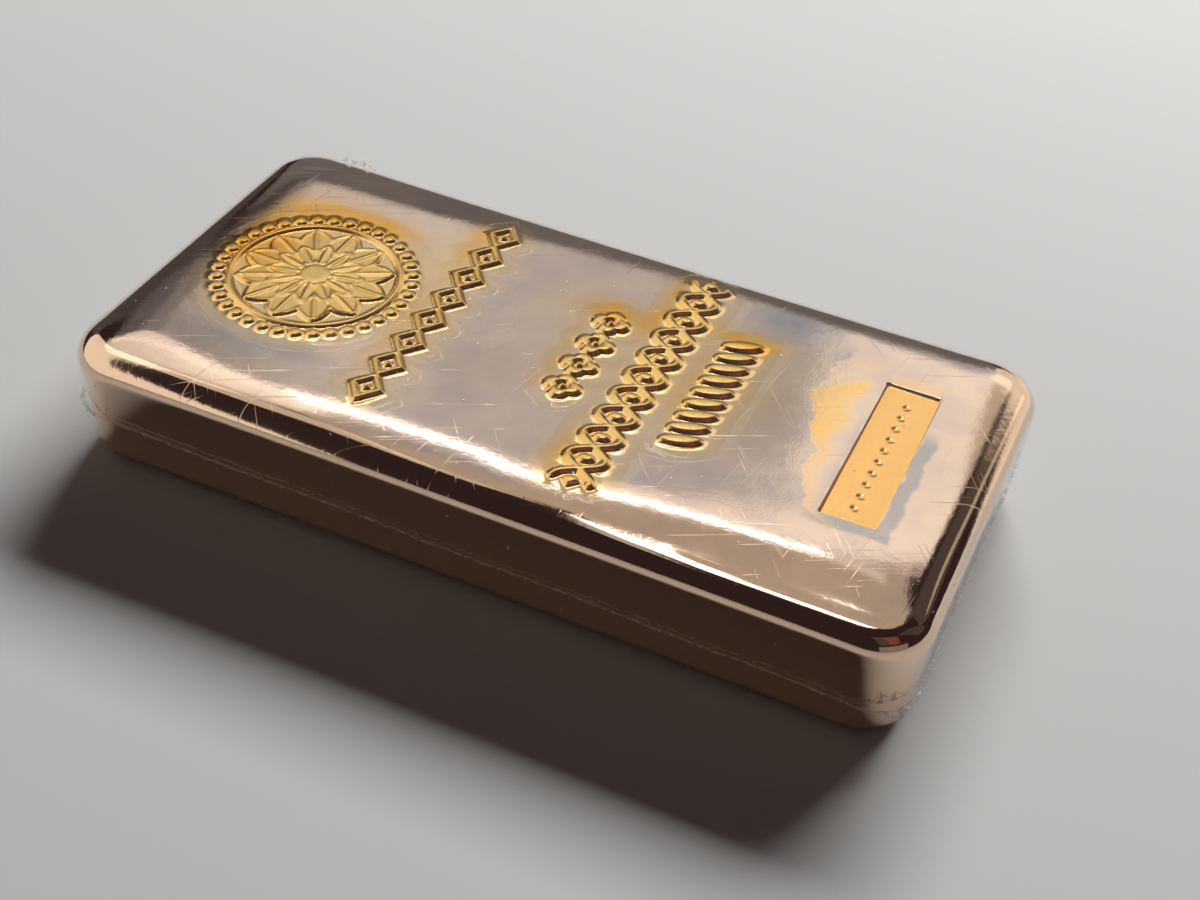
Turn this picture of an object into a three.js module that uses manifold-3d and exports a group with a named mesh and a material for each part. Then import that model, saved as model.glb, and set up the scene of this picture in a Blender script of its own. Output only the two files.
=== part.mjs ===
// A one-kilogram cast copper ingot in its clear shrink film, in millimetres, +Z up.
//
// The ingot is one casting: a long pillow with rolled top edges, sides that flare outwards
// as they rise, a top with soft shoulders and a slightly sunk middle, raised ornament and one
// sunk panel. The film is a thin closed skin round it, welded along a seam low on the sides,
// with a pinch at each corner.
// The origin is at the bottom centre, X runs along the length, and +Y is the back long side.

import * as THREE from 'three';
import { mergeVertices } from 'three/addons/utils/BufferGeometryUtils.js';
import Module from 'manifold-3d';

const wasm = await Module();
wasm.setup();

// ---- Driving dimensions: the casting ----
const INGOT_LENGTH = 115.4;      // across the widest line, just below the top roll
const INGOT_WIDTH = 58.2;
const INGOT_HEIGHT = 17.65;      // underside to the rim of the top
const DRAFT_ANGLE = 5.1;         // degrees that the sides lean out from upright
const CORNER_RADIUS = 7.2;       // in plan, at the widest line
const TOP_ROLL = 3.6;            // radius of the rolled top edge
const BASE_ROUND = 2.1;          // radius of the lower edge
const TOP_DISH = 0.35;           // how far the middle of the top has sunk as it cooled
const SHOULDER_DROP = 0.35;      // how far the top falls away before it meets the roll
const SHOULDER_WIDTH = 8;        // over what distance in from the roll it falls
const SIDE_WAIST = 0.25;         // how far the middle of a long side draws in

// ---- Raised ornament and the sunk panel ----
const RELIEF_HEIGHT = 0.8;       // above the top's surface
const RELIEF_BEVEL = 0.22;       // sloping edge of each raised stroke
const RELIEF_ROOT = 0.6;         // how deep the raised work starts inside the casting
const STROKE = 0.85;             // width of a raised line
const MEDALLION_INSET = 21.0;    // its centre, in from the ingot's end
const MEDALLION_RADIUS = 13.8;
const BEAD_COUNT = 24;
const PETAL_COUNT = 12;
const PANEL_INSET = 14.5;        // its middle, in from the other end
const PANEL_Y = 2.8;
const PANEL_SIZE = [7.4, 30.0];  // at its rim
const PANEL_DEPTH = 1.0;
const PANEL_WALL_RUN = 0.15;     // how far its front and side walls slope in
const PANEL_BACK_RUN = 1.1;      // how far its back wall slopes in
// Bands of ornament across the top, in whole repeats of about the pitch given. The long ones
// run to margins in from the rolled edges.
const LOZENGE_BAND = { x: -18.5, height: 4.6, frontMargin: 5.4, backMargin: 2.8, pitch: 4.8 };
const ARC_BAND = { x: 2.9, height: 5.5, y: 2.0, length: 20.0, pitch: 5.0 };
const EGG_BAND = { x: 11.5, height: 5.7, frontMargin: 4.4, backMargin: 2.0, pitch: 5.7 };
const KEY_BAND = { x: 20.2, height: 5.3, y: 2.5, length: 24.0, pitch: 6.0 };

// ---- The shrink film ----
const FILM_CLEARANCE = 0.15;     // between the film and the casting
const FILM_WALL = 0.15;
const FILM_VENT_RADIUS = 1.5;    // the hole underneath that lets air out as the film shrinks
const SEAM_LIP = 0.7;            // how far the weld stands off the film
const SEAM_THICKNESS = 0.3;
const SEAM_HEIGHT_LEFT = 7.5;    // above the underside, at the medallion end
const SEAM_HEIGHT_RIGHT = 5.4;   // above the underside, at the panel end
const EAR_LENGTH = 1.2;          // the pinched film at each corner, past the seam lip

// ---- Fineness of the curved surfaces ----
const LONG_SIDE_STEPS = 6;
const SHORT_SIDE_STEPS = 4;
const CORNER_STEPS = 6;
const ROLL_STEPS = 5;
const BASE_STEPS = 3;
const SHOULDER_INSETS = [0.5, 0.95];   // shares of the way from the roll to the corner's centre
const TOP_RINGS = [0.94, 0.8, 0.6, 0.35];
const CURVE_SEGMENTS = 8;

const draft = THREE.MathUtils.degToRad(DRAFT_ANGLE);
const medallionX = MEDALLION_INSET - INGOT_LENGTH / 2;
const panelX = INGOT_LENGTH / 2 - PANEL_INSET;

// ---- Solids: a three.js geometry becomes a manifold and back ----

function toSolid(geometry) {
  const bare = geometry.clone();
  bare.deleteAttribute('normal');
  bare.deleteAttribute('uv');
  const merged = mergeVertices(bare, 1e-5);
  const corners = merged.index.array;
  const triangles = [];
  for (let i = 0; i < corners.length; i += 3) {
    const [a, b, c] = [corners[i], corners[i + 1], corners[i + 2]];
    if (a !== b && b !== c && c !== a) triangles.push(a, b, c);
  }
  return new wasm.Manifold(new wasm.Mesh({
    numProp: 3,
    vertProperties: new Float32Array(merged.attributes.position.array),
    triVerts: new Uint32Array(triangles),
  }));
}

function toGeometry(solid) {
  const mesh = solid.getMesh();
  const geometry = new THREE.BufferGeometry();
  geometry.setAttribute('position', new THREE.BufferAttribute(new Float32Array(mesh.vertProperties), 3));
  geometry.setIndex(new THREE.BufferAttribute(new Uint32Array(mesh.triVerts), 1));
  geometry.computeVertexNormals();
  return geometry;
}

function joinAll(solids) {
  return solids.reduce((whole, piece) => whole.add(piece));
}

// ---- The casting's own shape ----

// Stations round the widest outline: a point on it and the way that faces outwards there.
function outlineStations() {
  const straightX = INGOT_LENGTH / 2 - CORNER_RADIUS;
  const straightY = INGOT_WIDTH / 2 - CORNER_RADIUS;
  const centres = [[1, 1], [-1, 1], [-1, -1], [1, -1]].map(([x, y]) =>
    new THREE.Vector2(x * straightX, y * straightY));
  const stations = [];
  centres.forEach((centre, corner) => {
    for (let i = 0; i <= CORNER_STEPS; i++) {
      const angle = (corner + i / CORNER_STEPS) * Math.PI / 2;
      const outward = new THREE.Vector2(Math.cos(angle), Math.sin(angle));
      stations.push({ point: centre.clone().addScaledVector(outward, CORNER_RADIUS), outward });
    }
    const next = centres[(corner + 1) % 4];
    const steps = corner % 2 === 0 ? LONG_SIDE_STEPS : SHORT_SIDE_STEPS;
    const turn = (corner + 1) * Math.PI / 2;
    const outward = new THREE.Vector2(Math.cos(turn), Math.sin(turn));
    for (let i = 1; i < steps; i++) {
      const point = centre.clone().lerp(next, i / steps).addScaledVector(outward, CORNER_RADIUS);
      stations.push({ point, outward });
    }
  });
  return stations;
}

// The upright section, from the underside's centre to the top's: each step is an inset from
// the widest outline and a height, and past the shoulder each shrinks the ring before it.
function sectionSteps(grow, lift) {
  const rollCentre = { inset: TOP_ROLL, z: INGOT_HEIGHT - TOP_ROLL };
  const flankTop = TOP_ROLL * (1 - Math.cos(draft));
  const flankDrop = rollCentre.z - TOP_ROLL * Math.sin(draft) - BASE_ROUND * (1 - Math.sin(draft));
  const baseInset = flankTop + flankDrop * Math.tan(draft) + BASE_ROUND * Math.cos(draft);
  const steps = [{ shrink: 0 }];
  for (let i = 0; i <= BASE_STEPS; i++) {
    const angle = -Math.PI / 2 + (Math.PI / 2 - draft) * i / BASE_STEPS;
    const radius = BASE_ROUND + grow;
    steps.push({ inset: baseInset - radius * Math.cos(angle), z: BASE_ROUND + radius * Math.sin(angle) });
  }
  for (let i = 0; i <= ROLL_STEPS; i++) {
    const angle = -draft + (Math.PI / 2 + draft) * i / ROLL_STEPS;
    const radius = TOP_ROLL + grow;
    const rise = radius + (angle > 0 ? lift - SHOULDER_DROP : 0);
    steps.push({ inset: rollCentre.inset - radius * Math.cos(angle), z: rollCentre.z + rise * Math.sin(angle) });
  }
  SHOULDER_INSETS.forEach((share) => {
    const inset = TOP_ROLL + share * (CORNER_RADIUS - TOP_ROLL);
    steps.push({ inset, z: steps[steps.length - 1].z });
  });
  TOP_RINGS.forEach((shrink) => steps.push({ shrink }));
  steps.push({ shrink: 0 });
  return steps;
}

// 1 in the middle of the top, easing to 0 at its rolled edge.
function dishAt(x, y) {
  const u = Math.min(1, Math.abs(x) / (INGOT_LENGTH / 2 - TOP_ROLL));
  const v = Math.min(1, Math.abs(y) / (INGOT_WIDTH / 2 - TOP_ROLL));
  return (1 - u ** 2) * (1 - v ** 2);
}

// 0 over most of the top, rising to 1 at its rolled edge.
function shoulderAt(x, y) {
  const inX = INGOT_LENGTH / 2 - TOP_ROLL - Math.abs(x);
  const inY = INGOT_WIDTH / 2 - TOP_ROLL - Math.abs(y);
  const share = (inside) => Math.max(0, 1 - Math.max(0, inside) / SHOULDER_WIDTH) ** 2;
  return Math.min(1, share(inX) + share(inY));
}

function topHeightAt(x, y) {
  return INGOT_HEIGHT - TOP_DISH * dishAt(x, y) - SHOULDER_DROP * shoulderAt(x, y);
}

// A turned section squared off: each station of the lathe moves to its own place on the outline.
function pillow(grow, lift, dish) {
  const stations = outlineStations();
  const steps = sectionSteps(grow, lift);
  const baseStep = steps[1];
  const rimIndex = steps.length - TOP_RINGS.length - SHOULDER_INSETS.length - 2;
  const innerStep = steps[rimIndex + SHOULDER_INSETS.length];
  const profile = steps.map((step, j) => new THREE.Vector2(j === 0 || j === steps.length - 1 ? 0 : 1, j));
  const geometry = new THREE.LatheGeometry(profile, stations.length);
  const position = geometry.attributes.position;
  const halfStraight = INGOT_LENGTH / 2 - CORNER_RADIUS;
  for (let i = 0; i <= stations.length; i++) {
    const station = stations[i % stations.length];
    steps.forEach((step, j) => {
      const ring = step.inset !== undefined ? step : (j === 0 ? baseStep : innerStep);
      const shrink = step.inset !== undefined ? 1 : step.shrink;
      const place = station.point.clone().addScaledVector(station.outward, -ring.inset);
      const along = Math.min(1, Math.abs(place.x) / halfStraight);
      place.y -= Math.sign(place.y) * Math.abs(station.outward.y) * SIDE_WAIST * (1 - along ** 2);
      place.multiplyScalar(shrink);
      const crown = SHOULDER_DROP * (1 - shoulderAt(place.x, place.y)) - dish * dishAt(place.x, place.y);
      position.setXYZ(i * steps.length + j, place.x, place.y, ring.z + (j > rimIndex ? crown : 0));
    });
  }
  return toSolid(geometry);
}

// ---- Raised ornament ----

// Extrudes flat shapes into raised work with sloping edges that follows the sunk top.
function raised(shapes, x, y, height = RELIEF_HEIGHT) {
  const geometry = new THREE.ExtrudeGeometry(shapes, {
    depth: RELIEF_ROOT + height - RELIEF_BEVEL,
    bevelThickness: RELIEF_BEVEL,
    bevelSize: RELIEF_BEVEL,
    bevelOffset: -RELIEF_BEVEL,
    bevelSegments: 1,
    curveSegments: CURVE_SEGMENTS,
  });
  geometry.translate(x, y, -RELIEF_ROOT);
  return seatOnTop(geometry);
}

// Moves raised work from z = 0 onto the top's surface.
function seatOnTop(geometry) {
  const position = geometry.attributes.position;
  for (let i = 0; i < position.count; i++) {
    position.setZ(i, position.getZ(i) + topHeightAt(position.getX(i), position.getY(i)));
  }
  return toSolid(geometry);
}

function polygon(points) {
  return new THREE.Shape(points.map(([x, y]) => new THREE.Vector2(x, y)));
}

function ellipseShape(x, y, radiusX, radiusY) {
  const curve = new THREE.EllipseCurve(x, y, radiusX, radiusY, 0, Math.PI * 2);
  return new THREE.Shape(curve.getPoints(CURVE_SEGMENTS * 2).slice(0, -1));
}

// A low round stud, half of a flattened ball, standing on the top.
function stud(x, y, radius, height = RELIEF_HEIGHT) {
  const geometry = new THREE.SphereGeometry(1, 8, 4);
  geometry.rotateX(Math.PI / 2);
  geometry.scale(radius, radius, height);
  geometry.translate(x, y, 0);
  return seatOnTop(geometry);
}

// The middles of a band's repeats, along the ingot's width.
function repeatsOf(band) {
  const rim = INGOT_WIDTH / 2 - TOP_ROLL;
  const front = band.length ? band.y - band.length / 2 : band.frontMargin - rim;
  const back = band.length ? band.y + band.length / 2 : rim - band.backMargin;
  const count = Math.round((back - front) / band.pitch);
  const pitch = (back - front) / count;
  const middles = Array.from({ length: count }, (_, i) => front + pitch * (i + 0.5));
  return { pitch, middles };
}

// Open lozenges with a stud in each.
function lozengeBand(band) {
  const { pitch, middles } = repeatsOf(band);
  const halfX = band.height / 2;
  const halfY = pitch / 2 - STROKE * 0.1;
  return middles.flatMap((y) => {
    const outer = polygon([[-halfX, 0], [0, -halfY], [halfX, 0], [0, halfY]]);
    const inner = 1 - 1.5 * STROKE / halfX;
    outer.holes.push(polygon([[-halfX * inner, 0], [0, halfY * inner], [halfX * inner, 0],
      [0, -halfY * inner]]));
    return [raised([outer], band.x, y), stud(band.x, y, STROKE * 0.32)];
  });
}

// Scallops: two nested arches in each repeat.
function arcBand(band) {
  const { pitch, middles } = repeatsOf(band);
  const foot = band.height / 2;
  return middles.flatMap((y) => [0.46, 0.2].map((share) => {
    const radiusY = pitch * share;
    const radiusX = band.height * (share + 0.45);
    const arch = new THREE.Shape();
    arch.absellipse(foot, 0, radiusX, radiusY, Math.PI / 2, Math.PI * 1.5, false);
    arch.absellipse(foot, 0, radiusX - STROKE, radiusY - STROKE * 0.75, Math.PI * 1.5, Math.PI / 2, true);
    return raised([arch], band.x, y);
  }));
}

// Eggs in open shells with a dart between each pair.
function eggBand(band) {
  const { pitch, middles } = repeatsOf(band);
  const tall = band.height / 2;
  const wide = pitch * 0.36;
  const dart = polygon([[-tall, -STROKE * 0.3], [tall * 0.6, -STROKE * 0.55], [tall, 0],
    [tall * 0.6, STROKE * 0.55], [-tall, STROKE * 0.3]]);
  const eggs = middles.flatMap((y) => {
    const shell = ellipseShape(0, 0, tall, wide);
    shell.holes.push(ellipseShape(0, 0, tall - STROKE * 0.8, wide - STROKE * 0.7));
    return [raised([shell], band.x, y), raised([ellipseShape(0, 0, tall * 0.42, wide * 0.3)], band.x, y)];
  });
  const darts = middles.slice(1).map((y) => raised([dart], band.x, y - pitch / 2));
  return [...eggs, ...darts];
}

// A running key: each repeat is one line that climbs, crosses and hooks back on itself.
function keyBand(band) {
  const { pitch, middles } = repeatsOf(band);
  const half = band.height / 2;
  const line = STROKE * 0.75;
  const left = -pitch / 2;
  const bar = (x0, x1, y0, y1) => polygon([[x0, y0], [x1, y0], [x1, y1], [x0, y1]]);
  return middles.flatMap((y) => [
    bar(half - line, half, left, -left),
    bar(-half, half, left, left + line),
    bar(-half, -half + line, left, pitch * 0.22),
    bar(-half, half * 0.45, pitch * 0.22 - line, pitch * 0.22),
    bar(half * 0.45 - line, half * 0.45, left + line * 2.2, pitch * 0.22),
  ].map((shape) => raised([shape], band.x, y)));
}

// A round rosette: a ring of beads, a plain ring, two rows of petals and a boss.
function medallion() {
  const beadRing = MEDALLION_RADIUS - STROKE * 0.6;
  const ringOuter = MEDALLION_RADIUS - STROKE * 1.7;
  const beads = Array.from({ length: BEAD_COUNT }, (_, i) => {
    const angle = i / BEAD_COUNT * Math.PI * 2;
    return stud(medallionX + beadRing * Math.cos(angle), beadRing * Math.sin(angle), STROKE * 0.6);
  });
  const ring = ellipseShape(0, 0, ringOuter, ringOuter);
  ring.holes.push(ellipseShape(0, 0, ringOuter - STROKE, ringOuter - STROKE));
  const petals = [[ringOuter - STROKE * 1.6, 0.5, 0.5, 0], [ringOuter * 0.55, 0.24, 0.42, 0.5]]
    .flatMap(([tip, root, spread, turn]) => Array.from({ length: PETAL_COUNT }, (_, i) => {
      const angle = (i + turn) / PETAL_COUNT * Math.PI * 2;
      return petal(tip, ringOuter * root, tip * Math.PI / PETAL_COUNT * spread * 1.5, angle);
    }));
  const boss = stud(medallionX, 0, ringOuter * 0.19, RELIEF_HEIGHT);
  return [...beads, raised([ring], medallionX, 0), ...petals, boss];
}

// One pointed petal, from its root to its tip, turned about the rosette's centre.
function petal(tip, root, halfWidth, angle) {
  const shape = new THREE.Shape();
  const belly = root + (tip - root) * 0.62;
  shape.moveTo(root, 0);
  shape.quadraticCurveTo(belly, -halfWidth * 1.7, tip, 0);
  shape.quadraticCurveTo(belly, halfWidth * 1.7, root, 0);
  const turned = new THREE.Shape(shape.getPoints(5).slice(0, -1).map((point) =>
    point.rotateAround(new THREE.Vector2(0, 0), angle)));
  return raised([turned], medallionX, 0, RELIEF_HEIGHT * 0.85);
}

// ---- The pieces ----

function ingotSolid() {
  const body = pillow(0, 0, TOP_DISH);
  const ornament = joinAll([
    ...medallion(),
    ...lozengeBand(LOZENGE_BAND),
    ...arcBand(ARC_BAND),
    ...eggBand(EGG_BAND),
    ...keyBand(KEY_BAND),
  ]);
  return body.add(ornament).subtract(panelCutter());
}

// What the sunk panel takes out: a box from its floor to above the top, wider as it rises.
function panelCutter() {
  const panelTop = topHeightAt(panelX, PANEL_Y);
  const [halfX, halfY] = [PANEL_SIZE[0] / 2, PANEL_SIZE[1] / 2];
  const geometry = new THREE.BoxGeometry(PANEL_SIZE[0], PANEL_SIZE[1], PANEL_DEPTH * 2);
  const position = geometry.attributes.position;
  for (let i = 0; i < position.count; i++) {
    const slope = position.getZ(i) < 0 ? 1 : -1;
    const back = position.getY(i) > 0;
    const x = Math.sign(position.getX(i)) * (halfX - PANEL_WALL_RUN * slope);
    const y = back ? halfY - PANEL_BACK_RUN * slope : -halfY + PANEL_WALL_RUN * slope;
    position.setXY(i, panelX + x, PANEL_Y + y);
    position.setZ(i, panelTop + position.getZ(i));
  }
  return toSolid(geometry);
}

// The flat weld round the sides, with an ear at each corner, sloping along the length.
function seamSolid() {
  const reach = FILM_CLEARANCE + FILM_WALL + SEAM_LIP;
  const middleHeight = (SEAM_HEIGHT_LEFT + SEAM_HEIGHT_RIGHT) / 2;
  const flank = (INGOT_HEIGHT - TOP_ROLL - middleHeight) * Math.tan(draft);
  const outer = [];
  const inner = [];
  outlineStations().forEach(({ point, outward }) => {
    const diagonal = Math.min(Math.abs(outward.x), Math.abs(outward.y)) * Math.SQRT2;
    const ear = diagonal > 0.8 ? EAR_LENGTH * (diagonal - 0.8) / 0.2 : 0;
    outer.push(point.clone().addScaledVector(outward, reach + ear - flank));
    inner.push(point.clone().addScaledVector(outward, FILM_CLEARANCE * 2 - flank));
  });
  const shape = new THREE.Shape(outer);
  shape.holes.push(new THREE.Path(inner));
  const geometry = new THREE.ExtrudeGeometry([shape], { depth: SEAM_THICKNESS, bevelEnabled: false });
  geometry.rotateY(Math.atan2(SEAM_HEIGHT_LEFT - SEAM_HEIGHT_RIGHT, INGOT_LENGTH));
  geometry.translate(0, 0, middleHeight);
  return toSolid(geometry);
}

function filmSolid() {
  const outer = pillow(FILM_CLEARANCE + FILM_WALL, RELIEF_HEIGHT, 0);
  const inner = pillow(FILM_CLEARANCE, RELIEF_HEIGHT, 0);
  const vent = new THREE.CylinderGeometry(FILM_VENT_RADIUS, FILM_VENT_RADIUS, BASE_ROUND, CURVE_SEGMENTS * 2);
  vent.rotateX(Math.PI / 2);
  return outer.add(seamSolid()).subtract(inner).subtract(toSolid(vent));
}

// ---- The part ----

function piece(name, solid, look) {
  const mesh = new THREE.Mesh(toGeometry(solid), new THREE.MeshStandardMaterial(look));
  mesh.name = name;
  mesh.position.z = FILM_CLEARANCE + FILM_WALL;
  return mesh;
}

const part = new THREE.Group();
part.add(piece('ingot', ingotSolid(), { color: 0xc98363, roughness: 0.22, metalness: 1.0 }));
part.add(piece('shrink_film', filmSolid(), {
  color: 0xf2f4f5, roughness: 0.1, metalness: 0.0, transparent: true, opacity: 0.12,
}));

export default part;
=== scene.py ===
# %% [markdown]
# # A cast copper bar in clear shrink film
#
# The bar is a one-kilogram casting of fine copper: a pillow with rolled edges, a top with
# soft shoulders, raised ornament and one sunk panel. It is sealed in thin clear film. A
# polish shows whatever is under it, so every dent, roll and raised line has to be real
# shape, and not only shading.
#
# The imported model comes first, as the fixed frame for everything else.

# %% Load the frame
import math

import bmesh
import bpy
import numpy as np
from mathutils import Matrix, Vector


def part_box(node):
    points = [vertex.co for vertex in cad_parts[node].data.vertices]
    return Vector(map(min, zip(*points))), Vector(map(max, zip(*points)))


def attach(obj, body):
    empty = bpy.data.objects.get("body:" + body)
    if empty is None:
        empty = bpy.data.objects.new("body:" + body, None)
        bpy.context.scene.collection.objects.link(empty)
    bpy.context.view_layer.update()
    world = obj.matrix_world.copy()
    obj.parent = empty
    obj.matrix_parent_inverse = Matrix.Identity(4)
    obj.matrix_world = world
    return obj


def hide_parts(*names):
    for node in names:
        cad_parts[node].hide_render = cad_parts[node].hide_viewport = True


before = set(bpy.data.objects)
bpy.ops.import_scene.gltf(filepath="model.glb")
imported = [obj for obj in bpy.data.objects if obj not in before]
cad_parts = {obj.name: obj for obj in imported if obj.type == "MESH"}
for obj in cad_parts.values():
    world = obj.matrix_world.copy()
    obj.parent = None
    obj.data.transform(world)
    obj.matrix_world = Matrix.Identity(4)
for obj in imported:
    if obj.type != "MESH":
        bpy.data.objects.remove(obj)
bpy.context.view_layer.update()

MM = 0.001

# %% [markdown]
# ## The camera
#
# The bar is seen from just in front of its long side and well above it, nearer to the panel
# end. The camera is rolled a few degrees, as when it is held by hand.

# %% Camera
LENS_MM, SENSOR_MM = 54.1, 36.0
CAMERA_PLACE = Vector((73.87, -169.57, 160.02)) * MM
CAMERA_TARGET = Vector((12.37, -14.76, 18.0)) * MM
CAMERA_ROLL = math.radians(4.49)

scene = bpy.context.scene
camera = bpy.data.objects.new("camera", bpy.data.cameras.new("camera"))
camera.data.lens = LENS_MM
camera.data.sensor_width = SENSOR_MM
camera.data.clip_start = 10 * MM
look = (CAMERA_TARGET - CAMERA_PLACE).to_track_quat("-Z", "Y").to_matrix().to_4x4()
camera.matrix_world = Matrix.Translation(CAMERA_PLACE) @ look @ Matrix.Rotation(CAMERA_ROLL, 4, "Z")
scene.collection.objects.link(camera)
scene.camera = camera
scene.view_settings.view_transform = "Standard"
print("camera", camera.location / MM)

# %% [markdown]
# ## Small helpers
#
# A material here is a tree of nodes. One function adds a node with its settings and links,
# and one turns the hex colours that people write into the linear values that light needs.

# %% Helpers
def linear(hex_code):
    """The linear RGBA of an sRGB hex colour such as '#c98363'."""
    shares = [int(hex_code[i:i + 2], 16) / 255 for i in (1, 3, 5)]
    return [s / 12.92 if s <= 0.04045 else ((s + 0.055) / 1.055) ** 2.4 for s in shares] + [1.0]


def add(tree, kind, inputs=None, **settings):
    """Adds a node, sets its settings, and fills its inputs or links them to a socket or a node."""
    node = tree.nodes.new(kind)
    for name, value in settings.items():
        setattr(node, name, value)
    for name, value in (inputs or {}).items():
        if isinstance(value, bpy.types.Node):
            value = next(output for output in value.outputs if output.enabled)
        if isinstance(value, bpy.types.NodeSocket):
            tree.links.new(value, node.inputs[name])
        else:
            node.inputs[name].default_value = value
    return node


def ease(value, start, end):
    """0 before start, 1 after end, and a smooth ramp between, for arrays."""
    t = np.clip((value - start) / (end - start), 0.0, 1.0)
    return t * t * (3.0 - 2.0 * t)


# %% [markdown]
# ## The size of the casting
#
# Every size is in millimetres. The length and width come from the frame, and the rest are
# the radii and the draft of the mould, and how the metal sank and slumped in it.

# %% Driving sizes
ingot_low, ingot_high = (np.array(corner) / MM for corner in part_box("ingot"))
FLOOR_GAP = ingot_low[2]      # room for the film under the metal
HALF_LENGTH = (ingot_high[0] - ingot_low[0]) / 2
HALF_WIDTH = (ingot_high[1] - ingot_low[1]) / 2
HEIGHT = 17.65                # underside to the crown of the top
DRAFT = math.radians(5.1)
CORNER_RADIUS = 7.2
TOP_ROLL = 3.6
BASE_ROUND = 2.1
TOP_DISH = 0.35               # how far the middle has sunk
SHOULDER_DROP = 0.35
SHOULDER_WIDTH = 8.0
CORNER_BLEND = 4.9            # how squarely the shoulder turns each corner
SIDE_WAIST = 0.25             # how far the long sides are drawn in at their middle

core = np.array([HALF_LENGTH, HALF_WIDTH]) - CORNER_RADIUS
SHOULDER_LEAN = math.atan(2 * SHOULDER_DROP / SHOULDER_WIDTH)   # where the shoulder meets the roll
RIM_INSET = TOP_ROLL * (1 - math.sin(SHOULDER_LEAN))
RIM_X, RIM_Y = HALF_LENGTH - RIM_INSET, HALF_WIDTH - RIM_INSET
ROLL_FOOT = HEIGHT - TOP_ROLL - TOP_ROLL * math.sin(DRAFT)      # the flank runs from here
BASE_TOP = BASE_ROUND * (1 - math.sin(DRAFT))                   # down to here
print("half sizes mm", HALF_LENGTH, HALF_WIDTH, "core", core)

# %% [markdown]
# ## A lattice that becomes a pillow
#
# The form starts as a box cut into cells. Each point of the box then moves to its own place
# on the pillow: rows near an edge wrap round the roll, and the cells at the corners fan
# round them. The cells stay even where light slides over them, which a bevelled box with
# one big face on top would not give.

# %% Lattice
CELL = 1.0                    # mm, on the flat of the top
RING_ROWS = 12                # rows from a box edge to the core rectangle
ROLL_ROWS = 7                 # of those, rows on the upper half of the roll
BASE_ROWS = 3                 # the same, under the bar
LOWER_ROLL_ROWS, FLANK_ROWS, UPPER_BASE_ROWS = 8, 9, 3
SIDE_ROWS = LOWER_ROLL_ROWS + FLANK_ROWS + UPPER_BASE_ROWS
CORE_CELLS = np.round(2 * core / CELL).astype(int)
BOX_CELLS = np.append(CORE_CELLS + 2 * RING_ROWS, SIDE_ROWS)
CELL_STEP = 2 * core / CORE_CELLS  # mm, a cell's real size along x and y
TOUCHING = 1e-4               # cells, how near counts as on a face of the box
print("box cells", BOX_CELLS)


def box_lattice():
    """A box whose points sit at whole numbers, cut once for each row and column."""
    bm = bmesh.new()
    bmesh.ops.create_cube(bm, size=1.0)
    bmesh.ops.translate(bm, verts=bm.verts, vec=(0.5, 0.5, 0.5))
    bmesh.ops.scale(bm, verts=bm.verts, vec=Vector(BOX_CELLS.tolist()))
    for axis in range(3):
        along = [e for e in bm.edges if abs((e.verts[0].co - e.verts[1].co)[axis]) > 0.5]
        bmesh.ops.subdivide_edges(bm, edges=along, cuts=int(BOX_CELLS[axis]) - 1, use_grid_fill=True)
    return bm


def refine_top(bm, wanted, cuts):
    """Cuts the cells of the top finer wherever wanted(x, y), with x and y in mm, says so."""
    faces = [face for face in bm.faces if face.calc_center_median().z > SIDE_ROWS - TOUCHING]
    middles = np.array([face.calc_center_median()[:2] for face in faces])
    x, y = ((middles - BOX_CELLS[:2] / 2) * CELL_STEP).T
    chosen = {edge for face, fine in zip(faces, wanted(x, y)) if fine for edge in face.edges}
    bmesh.ops.subdivide_edges(bm, edges=list(chosen), cuts=cuts, use_grid_fill=True)


# %% The pillow's section
def section(rows_in, level, on_top, below, grow):
    """Inset from the widest outline and height, for each point's place on the section."""
    flank_top = TOP_ROLL * (1 - math.cos(DRAFT))
    flank_run = (ROLL_FOOT - BASE_TOP) * math.tan(DRAFT)
    base_inset = flank_top + flank_run + BASE_ROUND * math.cos(DRAFT)
    depth = SIDE_ROWS - level
    quarter = math.pi / 4

    upper = quarter + (quarter - SHOULDER_LEAN) * np.clip(rows_in / ROLL_ROWS, 0, 1)
    lower = quarter - (quarter + DRAFT) * np.clip(depth / LOWER_ROLL_ROWS, 0, 1)
    roll = np.where(on_top, upper, lower)
    base_side = -DRAFT - (quarter - DRAFT) * np.clip(
        (depth - LOWER_ROLL_ROWS - FLANK_ROWS) / UPPER_BASE_ROWS, 0, 1)
    base_under = -quarter - quarter * np.clip(rows_in / BASE_ROWS, 0, 1)
    base = np.where(below, base_under, base_side)

    rise = TOP_ROLL + grow - SHOULDER_DROP * (roll > 0)
    roll_inset = TOP_ROLL - (TOP_ROLL + grow) * np.cos(roll)
    roll_z = HEIGHT - TOP_ROLL + rise * np.sin(roll)
    base_in = base_inset - (BASE_ROUND + grow) * np.cos(base)
    base_z = BASE_ROUND + (BASE_ROUND + grow) * np.sin(base)
    share = np.clip((depth - LOWER_ROLL_ROWS) / FLANK_ROWS, 0, 1)
    low = below | (depth >= LOWER_ROLL_ROWS + FLANK_ROWS)
    high = on_top | (depth <= LOWER_ROLL_ROWS)
    inset = np.where(high, roll_inset, np.where(low, base_in, roll_inset * (1 - share) + base_in * share))
    z = np.where(high, roll_z, np.where(low, base_z, roll_z * (1 - share) + base_z * share))

    flat_from = np.where(on_top, ROLL_ROWS, BASE_ROWS)
    flat = np.clip((rows_in - flat_from) / (RING_ROWS - flat_from), 0, 1)
    return inset + np.where(on_top | below, flat, 0) * (CORNER_RADIUS - inset), z


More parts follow.
